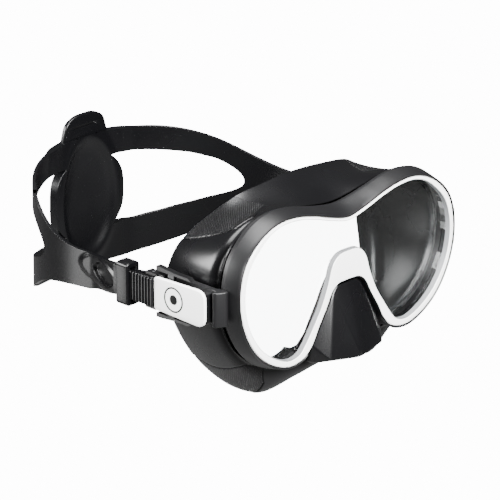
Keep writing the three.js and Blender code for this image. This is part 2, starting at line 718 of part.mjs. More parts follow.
const SIDE_PIECES = [
  ["buckle_lug", makeLug(), "frame"],
  ["pivot_pin", makePivotPin(), "steel"],
  ["buckle_body", makeBuckleBody(), "nylon"],
  ["buckle_cap", makeBuckleCap(), "white"],
  ["release_tab_upper", makeReleaseTab(1), "nylon"],
  ["release_tab_lower", makeReleaseTab(-1), "nylon"],
  ["release_spring", makeReleaseSpring(), "steel"],
  ["locking_pawl", makePawl(), "nylon"],
  ["strap_roller", makeRoller(), "nylon"],
  ["roller_pin", makeRollerPin(), "steel"],
  ["strap_keeper", makeKeeper(), "silicone"],
];

for (const [name, geometry, finish] of SIDE_PIECES) {
  add(`${name}_left`, geometry, finish);
  add(`${name}_right`, mirrored(geometry), finish);
}

export default mask;
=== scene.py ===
"""Low-volume diving mask: soft skirt, flat lens, side buckles and a split head strap."""
import math
import bmesh
import bpy
import numpy as np
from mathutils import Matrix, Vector


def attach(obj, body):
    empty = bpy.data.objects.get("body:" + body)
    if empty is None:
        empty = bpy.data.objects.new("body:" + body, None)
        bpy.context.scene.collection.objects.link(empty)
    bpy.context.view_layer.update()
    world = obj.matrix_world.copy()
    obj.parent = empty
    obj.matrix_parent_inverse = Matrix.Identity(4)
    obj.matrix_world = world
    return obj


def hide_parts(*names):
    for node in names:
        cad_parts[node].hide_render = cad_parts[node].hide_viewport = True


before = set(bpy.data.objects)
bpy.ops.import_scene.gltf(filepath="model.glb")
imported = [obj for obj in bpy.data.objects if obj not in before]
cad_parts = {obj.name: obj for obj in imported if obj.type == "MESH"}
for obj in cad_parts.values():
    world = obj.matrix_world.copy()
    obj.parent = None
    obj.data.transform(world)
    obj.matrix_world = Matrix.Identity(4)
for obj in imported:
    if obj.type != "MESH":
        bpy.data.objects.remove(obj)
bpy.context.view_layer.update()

MM = 0.001
FRONT = -30.0  # the lens trim's front, in mm along Y; depths below are counted back from it
SIDES = (("left", 1), ("right", -1))

# ---- camera: the view is from the wearer's right, ahead and above ----

VIEW_AZIMUTH = math.radians(-45)
VIEW_ELEVATION = math.radians(20.8)
VIEW_TARGET = Vector((-0.0331, 0.0062, 0.0058))
VIEW_DISTANCE = 3.0
VIEW_WIDTH = 0.2463

back = Vector((math.sin(VIEW_AZIMUTH) * math.cos(VIEW_ELEVATION),
               -math.cos(VIEW_AZIMUTH) * math.cos(VIEW_ELEVATION),
               math.sin(VIEW_ELEVATION)))
camera_data = bpy.data.cameras.new("camera")
camera_data.sensor_width = 36
camera_data.lens = 36 * VIEW_DISTANCE / VIEW_WIDTH
camera_data.clip_end = 50
camera = bpy.data.objects.new("camera", camera_data)
camera.location = VIEW_TARGET + back * VIEW_DISTANCE
camera.rotation_euler = back.to_track_quat("Z", "Y").to_euler()
bpy.context.collection.objects.link(camera)
bpy.context.scene.camera = camera


# ---- materials ----

def linear(hex_colour):
    """The linear RGBA of an sRGB hex colour."""
    channels = [int(hex_colour[i:i + 2], 16) / 255 for i in (1, 3, 5)]
    return [c / 12.92 if c <= 0.04045 else ((c + 0.055) / 1.055) ** 2.4 for c in channels] + [1.0]


def node(material, kind, inputs=None, **settings):
    """Adds a node; inputs maps a socket's name or number to a value or to another node's output."""
    made = material.node_tree.nodes.new(kind)
    for key, value in settings.items():
        setattr(made, key, value)
    for key, value in (inputs or {}).items():
        if isinstance(value, bpy.types.NodeSocket):
            material.node_tree.links.new(value, made.inputs[key])
        else:
            made.inputs[key].default_value = value
    return made


def start(name):
    material = bpy.data.materials.new(name)
    material.use_nodes = True
    material.node_tree.nodes.clear()
    return material


def finish(material, shader):
    node(material, "ShaderNodeOutputMaterial", {"Surface": shader.outputs[0]})
    return material


def moulded(name, dark, light, roughness, grain_mm, grain_depth, coat=0.0, dots_mm=0.0,
            specular=0.5):
    """A moulded surface: colour and roughness drift slowly, and a fine mould texture is pressed in.

    With dots_mm, places whose stipple attribute is 1 carry rows of small moulded dots, and a second
    attribute paints shade: where it is 1 the colour turns black and the specular falls to 0, as painted shade
    in moulded lines, creases and the skirt's inside.
    whose groove attribute is 1 are the dark bottoms of moulded lines.
    """
    material = start(name)
    place = node(material, "ShaderNodeTexCoord").outputs["Object"]
    drift = node(material, "ShaderNodeTexNoise", {"Vector": place, "Scale": 38.0, "Detail": 3.0})
    colour = node(material, "ShaderNodeMix", {0: drift.outputs[0], 6: linear(dark), 7: linear(light)},
                  data_type="RGBA")
    rough = node(material, "ShaderNodeMapRange",
                 {0: drift.outputs[0], 3: roughness - 0.05, 4: roughness + 0.05})
    grain = node(material, "ShaderNodeTexNoise",
                 {"Vector": place, "Scale": 1000 / grain_mm, "Detail": 2.0})
    height = grain.outputs[0]
    bump = node(material, "ShaderNodeBump",
                {"Strength": 0.6, "Distance": grain_depth * MM, "Height": height})
    normal = bump.outputs[0]
    roughness_out = rough.outputs[0]
    colour_out = colour.outputs[2]
    specular_out = specular
    if dots_mm:
        stipple = node(material, "ShaderNodeAttribute", attribute_name="stipple").outputs["Fac"]
        map_mm = node(material, "ShaderNodeUVMap", uv_map="surface_mm")
        parts = node(material, "ShaderNodeSeparateXYZ", {0: map_mm.outputs[0]})
        waves = []
        for axis in (0, 1):
            turn = node(material, "ShaderNodeMath", {0: parts.outputs[axis], 1: 2 * math.pi * 1000 / dots_mm},
                        operation="MULTIPLY")
            waves.append(node(material, "ShaderNodeMath", {0: turn.outputs[0]}, operation="COSINE"))
        both = node(material, "ShaderNodeMath", {0: waves[0].outputs[0], 1: waves[1].outputs[0]},
                    operation="MULTIPLY")
        dots = node(material, "ShaderNodeMapRange", {0: both.outputs[0], 1: 0.1, 2: 0.8})
        raised = node(material, "ShaderNodeMath", {0: dots.outputs[0], 1: stipple}, operation="MULTIPLY")
        bump = node(material, "ShaderNodeBump",
                    {"Strength": 1.0, "Distance": 0.5 * MM, "Height": raised.outputs[0], "Normal": normal})
        normal = bump.outputs[0]
        rougher = node(material, "ShaderNodeMath", {0: stipple, 1: 0.05, 2: roughness_out},
                       operation="MULTIPLY_ADD")
        roughness_out = rougher.outputs[0]
        # Painted shade: where this attribute is high the colour is mixed towards black and the specular
        # lowered.
        painted_shade = node(material, "ShaderNodeAttribute", attribute_name="painted_shade").outputs["Fac"]
        shaded = node(material, "ShaderNodeMapRange", {0: painted_shade, 3: specular, 4: 0.0})
        specular_out = shaded.outputs[0]
        darker = node(material, "ShaderNodeMix", {0: painted_shade, 6: colour_out, 7: (0, 0, 0, 1)},
                      data_type="RGBA")
        colour_out = darker.outputs[2]
    shader = node(material, "ShaderNodeBsdfPrincipled",
                  {"Base Color": colour_out, "Specular IOR Level": specular_out, "Roughness": roughness_out,
                   "Normal": normal, "Coat Weight": coat, "Coat Roughness": 0.2})
    return finish(material, shader)


def clear_glass():
    """Polished glass with a slight grey tint and the weak reflection of a coated lens."""
    material = start("tempered_lens_glass")
    facing = node(material, "ShaderNodeFresnel", {"IOR": 1.25})
    clear = node(material, "ShaderNodeBsdfTransparent", {"Color": (0.88, 0.89, 0.89, 1)})
    place = node(material, "ShaderNodeTexCoord").outputs["Object"]
    smears = node(material, "ShaderNodeTexNoise", {"Vector": place, "Scale": 25.0, "Detail": 2.0})
    rough = node(material, "ShaderNodeMapRange", {0: smears.outputs[0], 3: 0.0, 4: 0.03})
    shine = node(material, "ShaderNodeBsdfGlossy", {"Roughness": rough.outputs[0]})
    mixed = node(material, "ShaderNodeMixShader",
                 {0: facing.outputs[0], 1: clear.outputs[0], 2: shine.outputs[0]})
    return finish(material, mixed)


def drawn_steel():
    """Stainless wire and pins, drawn lengthwise."""
    material = start("drawn_stainless_steel")
    place = node(material, "ShaderNodeTexCoord").outputs["Object"]
    lines = node(material, "ShaderNodeTexNoise", {"Vector": place, "Scale": 900.0, "Detail": 4.0})
    rough = node(material, "ShaderNodeMapRange", {0: lines.outputs[0], 3: 0.22, 4: 0.4})
    shader = node(material, "ShaderNodeBsdfPrincipled",
                  {"Base Color": linear("#b9bcc0"), "Metallic": 1.0, "Roughness": rough.outputs[0]})
    return finish(material, shader)


# Liquid silicone with a satin tool finish and pressed dots; polycarbonate; nylon; gloss ABS.
SKIRT_SILICONE = moulded("skirt_satin_silicone", "#050506", "#080809", 0.27, 0.35, 0.01, dots_mm=1.5,
                         specular=0.3)
STRAP_SILICONE = moulded("strap_satin_silicone", "#030304", "#060607", 0.27, 0.4, 0.012, specular=0.24)
FRAME_PLASTIC = moulded("frame_satin_polycarbonate", "#0a0a0b", "#0e0e0f", 0.42, 0.3, 0.008, specular=0.26)
BUCKLE_NYLON = moulded("buckle_satin_nylon", "#060607", "#0a0a0b", 0.34, 0.25, 0.012, specular=0.3)
# The lens trim's white plastic painted mid grey: painted shade for its inner wall inside the lens opening.
TRIM_BEVEL_SHADE = moulded("trim_white_painted_shade", "#6f7072", "#7a7b7d", 0.35, 1.2, 0.004)
WHITE_PLASTIC = moulded("gloss_white_abs", "#f2f2f1", "#f7f7f6", 0.3, 1.6, 0.004, coat=0.4)
PRINT_INK = moulded("dark_pad_print", "#060606", "#0a0a0a", 0.5, 0.2, 0.004, specular=0.1)
LENS_GLASS = clear_glass()
STEEL = drawn_steel()


# ---- mesh helpers ----

def at(points):
    """(x, depth, z) rows in mm to row-frame metres."""
    moved = np.asarray(points, float).copy()
    moved[..., 1] += FRONT
    return moved * MM


def piece(name, points, faces, material, body, nodes, crease=35, uv=None, marks=None, bevel=0.0):
    """Makes a shown piece from mm points and faces, riding on a body in place of CAD nodes."""
    mesh = bpy.data.meshes.new(name)
    mesh.from_pydata([tuple(p) for p in at(points)], [], [tuple(f) for f in faces])
    if uv is not None:
        layer = mesh.uv_layers.new(name="surface_mm")
        corners = np.empty(len(mesh.loops), int)
        mesh.loops.foreach_get("vertex_index", corners)
        layer.data.foreach_set("uv", (np.asarray(uv)[corners] * MM).astype(np.float32).ravel())
    for mark, values in (marks or {}).items():
        layer = mesh.attributes.new(mark, "FLOAT", "POINT")
        layer.data.foreach_set("value", values.ravel().astype(np.float32))
    return place_mesh(name, mesh, material, body, nodes, crease, bevel)


def place_mesh(name, mesh, material, body, nodes, crease=35, bevel=0.0):
    work = bmesh.new()
    work.from_mesh(mesh)
    bmesh.ops.remove_doubles(work, verts=work.verts, dist=1e-6)
    bmesh.ops.recalc_face_normals(work, faces=work.faces)
    work.to_mesh(mesh)
    work.free()
    mesh.materials.clear()
    mesh.materials.append(material)
    mesh.shade_smooth()
    mesh.set_sharp_from_angle(angle=math.radians(crease))
    made = bpy.data.objects.new(name, mesh)
    bpy.context.collection.objects.link(made)
    if bevel:
        soften(made, bevel)
    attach(made, body)
    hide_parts(*nodes)
    return made


def soften(made, width, segments=3, angle=30):
    """Rounds an object's sharp edges as a mould does."""
    edge = made.modifiers.new("mould_radius", "BEVEL")
    edge.width = width * MM
    edge.segments = segments
    edge.limit_method = "ANGLE"
    edge.angle_limit = math.radians(angle)
    edge.harden_normals = True


def repaint(name, material, bevel=0.0):
    """A CAD node that stays: better material, softened edges."""
    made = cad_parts[name]
    for slot in made.material_slots:
        slot.material = material
    made.data.shade_smooth()
    made.data.set_sharp_from_angle(angle=math.radians(25))
    if bevel:
        soften(made, bevel)


def smoothstep(low, high, value):
    share = np.clip((np.asarray(value, float) - low) / (high - low), 0, 1)
    return share * share * (3 - 2 * share)


def closed_curve(points, per_span):
    """A closed centripetal Catmull-Rom curve through points, per_span samples to each span."""
    points = np.asarray(points, float)
    count = len(points)
    rows = []
    for i in range(count):
        p0, p1, p2, p3 = (points[(i + k) % count] for k in (-1, 0, 1, 2))
        gaps = [max(np.linalg.norm(b - a), 1e-6) ** 0.5 for a, b in ((p0, p1), (p1, p2), (p2, p3))]
        d0, d1, d2 = gaps
        t1 = ((p1 - p0) / d0 - (p2 - p0) / (d0 + d1) + (p2 - p1) / d1) * d1
        t2 = ((p2 - p1) / d1 - (p3 - p1) / (d1 + d2) + (p3 - p2) / d2) * d1
        for s in np.arange(per_span) / per_span:
            rows.append(p1 * (2 * s**3 - 3 * s**2 + 1) + t1 * (s**3 - 2 * s**2 + s)
                        + p2 * (3 * s**2 - 2 * s**3) + t2 * (s**3 - s**2))
    return np.array(rows)


def mirror_loop(rows, per_span):
    """The closed curve through half a table, its first column crossing x, and its mirror image."""
    half = np.asarray(rows, float)
    other = half[-2:0:-1].copy()
    other[:, 0] *= -1
    return closed_curve(np.vstack([half, other]), per_span)


def outward(loop):
    """Unit normals in the x-z plane, away from the enclosed area."""
    along = np.roll(loop, -1, axis=0) - np.roll(loop, 1, axis=0)
    normal = np.stack([-along[:, -1], along[:, 0]], axis=1)
    return normal / np.linalg.norm(normal, axis=1, keepdims=True)


def torus_faces(rings, across):
    faces = []
    for i in range(rings):
        j = (i + 1) % rings
        for k in range(across):
            m = (k + 1) % across
            faces.append((i * across + k, j * across + k, j * across + m, i * across + m))
    return faces


# ---- lens rim tables, in mm: trim outer x and z, lens window x and z, flare of the frame ----

RIM = [
    [0, 23.7, 0, 22.3, 5.6], [12, 26.3, 12, 24.9, 4.4], [23.5, 30, 23.5, 28.6, 3.2],
    [35, 32.6, 35, 31.2, 3.2], [46, 33, 46, 31.4, 3.2], [55.5, 30.5, 54.3, 28.7, 3.2],
    [64.5, 24.8, 62, 22.8, 3], [71.5, 16.3, 68.5, 15, 3], [74.8, 5, 71.8, 4.4, 3],
    [74.6, -7, 71.6, -6.8, 3], [71, -19.5, 68, -18.4, 3], [63.5, -31.5, 60.8, -29.3, 3],
    [53, -39.8, 51, -36.8, 3], [41.5, -43.8, 41.2, -40.4, 2.5], [32, -42.3, 34.4, -38.9, 1.2],
    [26, -37.5, 30.6, -35, -0.4], [20.5, -28, 25, -27, -0.4], [15.3, -19.5, 19.9, -19, -0.4],
    [11.2, -12.2, 15.2, -8.5, -0.4], [7.2, -9.3, 11.6, 1.8, -0.4], [3.5, -8.9, 7, 6, -0.4],
    [0, -8.8, 0, 6.8, -0.4],
]
RIM_DETAIL = 12
rim = np.array(RIM)
rim_outer = mirror_loop(rim[:, [0, 1]], RIM_DETAIL)
rim_window = mirror_loop(rim[:, [2, 3]], RIM_DETAIL)
flare = mirror_loop(np.column_stack([rim[:, 0], rim[:, 4], rim[:, 1]]), RIM_DETAIL)[:, 1]


# 1 round the nose cut-out, 0 elsewhere.
at_nose = 1 - np.clip(flare + 0.4, 0, 1)


def rim_ring(sections):
    """Points of a ring round the lens: each section row is ((x, z) loop, depth or depths)."""
    layers = [np.column_stack([loop[:, 0], np.broadcast_to(depth, len(loop)), loop[:, 1]])
              for loop, depth in sections]
    return np.stack(layers, axis=1).reshape(-1, 3), torus_faces(len(rim_outer), len(sections))


def between(share):
    return rim_outer + (rim_window - rim_outer) * share


def grown(loop, distance):
    return loop + outward(loop) * np.reshape(distance, (-1, 1))


def make_trim():
    sections = [
        (rim_outer, 2.9), (rim_outer, 0.9), (grown(rim_outer, -0.15), 0.4), (grown(rim_outer, -0.5), 0.08),
        (grown(rim_outer, -0.9), 0.0), (grown(rim_window, 0.5), 0.0), (grown(rim_window, 0.35), 0.12),
        (grown(rim_window, 0.3), 2.9),
    ]
    points, faces = rim_ring(sections)
    piece("lens_trim_ring", points, faces, WHITE_PLASTIC, "mask", ["lens_trim"])
    # The trim's inner wall: the same white plastic, painted grey as painted shade inside the lens opening.
    sections = [
        (grown(rim_window, 0.3), 0.2), (grown(rim_window, 0.05), 0.35),
        (grown(rim_window, -0.1), 2.9), (grown(rim_window, 0.3), 2.9),
    ]
    points, faces = rim_ring(sections)
    piece("trim_inner_bevel", points, faces, TRIM_BEVEL_SHADE, "mask", ["lens_trim"])


def make_frame():
    rear = np.where(flare > 1, flare - 0.9, flare)
    front = np.minimum(flare, 1.0)
    tucked = grown(between(0.35 * (1 - at_nose[:, None])), 1.6 * at_nose)
    rear_depth = 12.0 - 3.6 * at_nose
    sections = [
        (grown(rim_outer, 0.3), 3.3), (grown(rim_outer, 0.15), 0.5),
        (grown(rim_outer, np.minimum(front, 0.6)), 0.15),
        (grown(rim_outer, front * 1.1), 0.3), (grown(rim_outer, front * 1.1), 1.1),
        (grown(rim_outer, front * 0.75 + flare * 0.25), 2.2),
        (grown(rim_outer, front * 0.35 + flare * 0.65), 5.6),
        (grown(rim_outer, flare - 0.05), 9.0 - 1.2 * at_nose),
        (grown(rim_outer, flare), 9.6 - 1.6 * at_nose),
        (grown(rim_outer, flare - 0.15), 10.1 - 2.0 * at_nose),
        (grown(rim_outer, rear), 10.6 - 2.4 * at_nose),
        (grown(rim_outer, rear + 1.8 * at_nose), rear_depth), (tucked, rear_depth), (tucked, 7.6),
        (grown(between(0.3), 0.3), 7.6), (grown(between(0.3), 0.3), 3.3),
    ]
    points, faces = rim_ring(sections)
    piece("rigid_frame", points, faces, FRAME_PLASTIC, "mask", ["frame"])


# ---- skirt tables, in mm: front edge x, z; middle x, depth, z; rear edge x, depth, z ----

SKIRT = [
    [0, 28.8, 0, 25, 33.6, 0, 39.5, 38.2], [22, 31.8, 21.5, 26, 34, 21, 39.5, 37],
    [40, 35, 40, 27, 31.8, 39, 41.5, 33.8], [55, 32.4, 54, 28, 28.2, 50, 45, 28],
    [68, 24.5, 66, 30, 22, 60, 49, 21], [75.5, 12, 74, 33, 12, 67.5, 53, 12],
    [77.2, -3, 76.6, 34, -4, 71.5, 56.5, -5], [75.5, -16, 75.6, 32, -19, 71, 54, -21],
    [69, -29.5, 70, 28, -35, 66, 48.5, -38], [58.5, -39.5, 59.5, 28, -50, 59, 42, -51],
    [47, -45, 47.5, 24.5, -60, 49, 36, -60.5], [37, -46.8, 38, 21, -63.3, 38, 33, -64],
    [19, -49, 20, 17, -59, 20, 29, -60], [0, -49, 0, 16, -56, 0, 28, -58],
]
SKIRT_FRONT = 12.4
SKIRT_WALL = 2.4
LIP_WIDTH = 11.0
LIP_RISE = 3.5
SKIRT_DETAIL = 30
SKIRT_ACROSS = 80

# Moulded panels on one side of the skirt, as corners (row of the table, share from front to rear).
UPPER_PANEL = [(1.5, 0.42), (1.85, 1.1), (4.62, 1.1), (4.5, 0.93), (3.33, 0.26), (2.5, 0.21)]
LOWER_PANEL = [(8.4, 1.1), (8.5, 0.86), (8.92, 0.21), (9.1, 0.12), (9.92, 0.05), (10.58, 0.28), (10.9, 1.1)]
ROW_MM = 17.0
SHARE_MM = 42.0


def inside(rows, shares, corners):
    """Signed distance in mm, positive inside a panel given by its corners."""
    spot = np.stack([rows * ROW_MM, shares * SHARE_MM], axis=-1)
    polygon = np.array(corners) * [ROW_MM, SHARE_MM]
    nearest = np.full(rows.shape, 1e9)
    crossings = np.zeros(rows.shape, int)
    for a, b in zip(polygon, np.roll(polygon, -1, axis=0)):
        along = b - a
        share = np.clip(((spot - a) @ along) / (along @ along), 0, 1)
        nearest = np.minimum(nearest, np.linalg.norm(spot - a - share[..., None] * along, axis=-1))
        straddles = (a[1] > spot[..., 1]) != (b[1] > spot[..., 1])
        rise = b[1] - a[1] if b[1] != a[1] else 1e-9
        crossings += straddles & (spot[..., 0] < a[0] + (spot[..., 1] - a[1]) / rise * along[0])
    return np.where(crossings % 2 == 1, nearest, -nearest)


def skirt_surface():
    """Outer surface grid: points (around, across, xyz), and row and share of each."""
    rows = np.array(SKIRT, float)
    flat = np.zeros(len(rows))
    front = mirror_loop(np.column_stack([rows[:, 0], flat + SKIRT_FRONT, rows[:, 1]]), SKIRT_DETAIL)
    middle = mirror_loop(rows[:, 2:5], SKIRT_DETAIL)
    rear = mirror_loop(rows[:, 5:8], SKIRT_DETAIL)
    control = 2 * middle - (front + rear) / 2
    share = np.linspace(0, 1, SKIRT_ACROSS)[None, :, None]
    grid = (front[:, None] * (1 - share) ** 2 + control[:, None] * 2 * share * (1 - share)
            + rear[:, None] * share ** 2)
    count = len(front)
    row = np.arange(count) / SKIRT_DETAIL
    last = len(SKIRT) - 1
    row = np.where(row > last, 2 * last - row, row)
    rows_grid = np.repeat(row[:, None], SKIRT_ACROSS, axis=1)
    shares_grid = np.repeat(share[:, :, 0], count, axis=0)
    return grid, rows_grid, shares_grid, outward(rear[:, [0, 2]])


def make_skirt():
    grid, rows, shares, out = skirt_surface()
    upper = inside(rows, shares, UPPER_PANEL)
    lower = inside(rows, shares, LOWER_PANEL)
    upper_line = np.exp(-(upper / 0.5) ** 2) * smoothstep(2.0, 2.5, rows)
    edge_line = np.maximum(upper_line, np.exp(-(lower / 0.5) ** 2))
    relief = -0.35 * smoothstep(-0.4, 0.4, lower) - 0.6 * edge_line
    trough = smoothstep(1.2, 3.2, rows) * np.exp(-((shares - 0.09) / 0.07) ** 2)
    relief -= 1.5 * trough
    # Painted shade: dark lines along the panel edges, in the front trough, and along the skirt's front edge
    # where it meets the frame.
    painted_shade_grid = np.clip(np.maximum(edge_line, 0.75 * trough) + smoothstep(0.04, 0.01, shares), 0, 1)
    normal = np.column_stack([out[:, 0], np.zeros(len(out)), out[:, 1]])[:, None, :]
    outer = grid + normal * relief[..., None]

    def inward(base, distance, forward):
        moved = base - normal[:, 0] * distance
        moved[:, 1] -= forward
        return moved[:, None, :]

    rear = outer[:, -1]
    lip = [inward(rear, d, f) for d, f in
           ((0.35, -0.5), (1.1, -0.7), (2.2, -0.6), (5.0, 0.3), (8.5, 1.3), (10.6, 2.0), (LIP_WIDTH, 2.4),
            (10.7, 2.9), (8.5, 2.9), (5.0, 2.9), (3.2, LIP_RISE + 0.6))]
    inner = (grid - normal * SKIRT_WALL)[:, -10:12:-8]
    closing = grid[:, 6:7] - normal * SKIRT_WALL
    closing[..., 1] = SKIRT_FRONT + 2.6
    flat_front = grid[:, 0:1] - normal * 1.2
    section = np.concatenate([outer] + lip + [inner, closing, flat_front], axis=1)
    across = section.shape[1]
    stipple = np.zeros(section.shape[:2])
    painted_shade = np.zeros(section.shape[:2])
    painted_shade[:, :SKIRT_ACROSS] = painted_shade_grid
    # Painted shade over the lip and all the skirt's inside faces.
    painted_shade[:, SKIRT_ACROSS:] = 0.55
    faded_upper = np.where(rows < 3.2, upper - 2, upper)
    stipple[:, :SKIRT_ACROSS] = smoothstep(0.3, 0.9, np.maximum(faded_upper, lower))
    steps = np.linalg.norm(np.diff(section, axis=1, prepend=section[:, :1]), axis=2)
    down = np.cumsum(steps, axis=1)
    middle_line = grid[:, SKIRT_ACROSS // 2]
    along = np.cumsum(np.linalg.norm(np.diff(middle_line, axis=0, prepend=middle_line[:1]), axis=1))
    uv = np.stack([np.repeat(along[:, None], across, axis=1), down], axis=-1)
    piece("skirt_shell", section.reshape(-1, 3), torus_faces(len(section), across), SKIRT_SILICONE,
          "mask", ["skirt"], crease=50, uv=uv.reshape(-1, 2),
          marks={"stipple": stipple, "painted_shade": painted_shade})


def make_skirt_web():
    """The flat web of silicone clamped behind the frame, from the skirt's front edge to the lens."""
    skirt_edge = np.array([row[:2] for row in SKIRT])
    brow_to_cheek = np.arange(14)
    under_nose = np.linspace(1, 0, len(RIM) - 13)[1:]
    edge = [skirt_edge[np.argmin(np.hypot(*(skirt_edge - rim[i, 2:4]).T))] * 0.985 for i in brow_to_cheek]
    edge += [np.array([41.0 * share, -45.5 - 2.5 * (1 - share)]) for share in under_nose]
    edge[0] = skirt_edge[0] * 0.985
    outer_loop = mirror_loop(edge, RIM_DETAIL)
    hidden = grown(between(0.3 * (1 - at_nose[:, None])), 3.5 * at_nose)
    sections = [(outer_loop, SKIRT_FRONT), (outer_loop, SKIRT_FRONT + 2.6),
                (hidden, SKIRT_FRONT + 2.6 - 4.4 * at_nose), (hidden, SKIRT_FRONT - 3.8 * at_nose)]
    points, faces = rim_ring(sections)
    piece("skirt_clamped_web", points, faces, SKIRT_SILICONE, "mask", ["skirt"])


NOSE_OUTER = [
    [7, 1.5, -10.4], [7, 9.5, -10.4], [10.2, 1.2, -13], [10.2, 9.5, -13], [24.2, 2, -38], [24.2, 9.5, -38],
    [23, 3, -48], [23, 9.5, -48], [18.5, -5.4, -45.5], [0, 0.8, -10.2], [0, -9.4, -47.3], [0, 9.5, -50],
]
NOSE_INNER = [
    [5.5, 3.5, -12.8], [5.5, 18, -12.8], [8, 3.2, -14.8], [8, 18, -14.8], [21.5, 4, -38.4], [21.5, 18, -38.4],
    [20.4, 5, -45.4], [20.4, 18, -45.4], [16.4, -3.2, -43.2], [0, 3.2, -13], [0, -6.6, -44.8], [0, 18, -46.2],
]


def hull(name, corners, radius):
    """A closed convex block through corners and their mirror images, with rounded edges."""
    both = [[side * x, depth, z] for x, depth, z in corners for side in ((1, -1) if x else (1,))]
    work = bmesh.new()
    for point in at(both):
        work.verts.new(point)
    bmesh.ops.convex_hull(work, input=work.verts)
    bmesh.ops.dissolve_limit(work, angle_limit=math.radians(3), verts=work.verts, edges=work.edges)
    bmesh.ops.bevel(work, geom=list(work.edges), offset=radius * MM, segments=4, profile=0.5, affect="EDGES")
    bmesh.ops.recalc_face_normals(work, faces=work.faces)
    mesh = bpy.data.meshes.new(name)
    work.to_mesh(mesh)
    work.free()
    made = bpy.data.objects.new(name, mesh)
    bpy.context.collection.objects.link(made)
    return made


def settled(made):
    """The object's mesh with its modifiers applied; the object itself is removed."""
    graph = bpy.context.evaluated_depsgraph_get()
    mesh = bpy.data.meshes.new_from_object(made.evaluated_get(graph))
    bpy.data.objects.remove(made)
    return mesh


def make_nose():
    nose = hull("nose_block", NOSE_OUTER, 0.9)
    nostril = hull("nostril_block", NOSE_INNER, 1.2)
    cutter = nose.modifiers.new("hollow", "BOOLEAN")
    cutter.object = nostril
    cutter.operation = "DIFFERENCE"
    cutter.solver = "EXACT"
    mesh = settled(nose)
    bpy.data.objects.remove(nostril)
    place_mesh("nose_pocket", mesh, SKIRT_SILICONE, "mask", ["skirt"], crease=40)


# ---- strap ----

BUCKLE_Z = -4.6
ROLLER_DEPTH = 50.8
ROLLER_X = 85.0
STRAP_THICKNESS = 1.6
WRAP_RADIUS = 1.7 + 0.3 + STRAP_THICKNESS / 2
LOOP_HALF_WIDTH = 77.0
LOOP_CENTRE = 104.0
LOOP_BACK = 190.0
LOOP_ROUNDNESS = 0.9
# Bearing round the loop in degrees; top edge; top and bottom of the side window; bottom edge.
STRAP = np.array([
    [-90, 2.9, -4.6, -4.6, -12.1], [-50, 3.2, -5, -5, -13.4], [-20, -0.4, -9, -9, -17.6],
    [0, -2, -11, -11, -20.9], [10, -2.2, -12, -12, -23.1], [18, 0.6, -12, -12, -25.6],
    [25, 3.4, -12.6, -12.6, -28.4], [30, 6.6, -5.2, -18.6, -32], [36, 9.4, -1.8, -22, -36.6],
    [46, 13.2, 0.9, -26.3, -43.5], [58, 16, 2.8, -30.3, -48.9], [70, 17.2, 4.5, -32.8, -51.8],
    [78, 18.1, 4.8, -33.2, -52.6], [84, 18.6, 4.4, -32.8, -52.8], [91, 18.9, 4, -32.4, -53],
])
WINDOW_START = 25.0
WINDOW_CORNER = 79.6
WEB_EDGE = 73.9


def plan(bearing):
    """x and depth of the strap's middle at bearings round one half of the loop."""
    bearing = np.asarray(bearing, float)
    depth = LOOP_CENTRE + (ROLLER_DEPTH - LOOP_CENTRE) * -bearing / 90
    layered = ROLLER_X + WRAP_RADIUS - STRAP_THICKNESS - 0.15
    near = ROLLER_X - WRAP_RADIUS
    near = near + (layered - near) * smoothstep(ROLLER_DEPTH, 62, depth)
    arm_x = near + (LOOP_HALF_WIDTH - near) * smoothstep(74, LOOP_CENTRE, depth)
    angle = np.radians(np.maximum(bearing, 0))
    x = LOOP_HALF_WIDTH * np.abs(np.cos(angle)) ** LOOP_ROUNDNESS * np.sign(np.cos(angle))
    loop_depth = LOOP_CENTRE + (LOOP_BACK - LOOP_CENTRE) * np.sin(angle) ** LOOP_ROUNDNESS
    return np.where(bearing < 0, arm_x, x), np.where(bearing < 0, depth, loop_depth)


def strap_height(bearing, column):
    """A height from the table, with its corners smoothed except at the window's front end."""
    if column in (1, 4):
        spread = np.linspace(-6, 6, 13)[:, None]
        values = np.interp(np.clip(bearing[None] + spread, -90, 91), STRAP[:, 0], STRAP[:, column])
        return values.mean(axis=0)
    values = np.interp(bearing, STRAP[:, 0], STRAP[:, column])
    front = (bearing > WINDOW_START) & (bearing < 36)
    end = np.interp(36, STRAP[:, 0], STRAP[:, column])
    rounded = -12.6 + (end + 12.6) * np.sqrt(np.clip((bearing - WINDOW_START) / 11, 0, 1))
    return np.where(front, rounded, values)


def strip(bearings, low, high, rows):
    """A grid of (bearing, height) spots; bearings is (columns,) or (columns, rows)."""
    share = np.linspace(0, 1, rows)
    z = low[:, None] + (high - low)[:, None] * share[None]
    b = np.repeat(bearings[:, None], rows, axis=1) if bearings.ndim == 1 else bearings
    faces = [(i * rows + k, (i + 1) * rows + k, (i + 1) * rows + k + 1, i * rows + k + 1)
             for i in range(len(z) - 1) for k in range(rows - 1)]
    return np.stack([b, z], axis=-1).reshape(-1, 2), faces


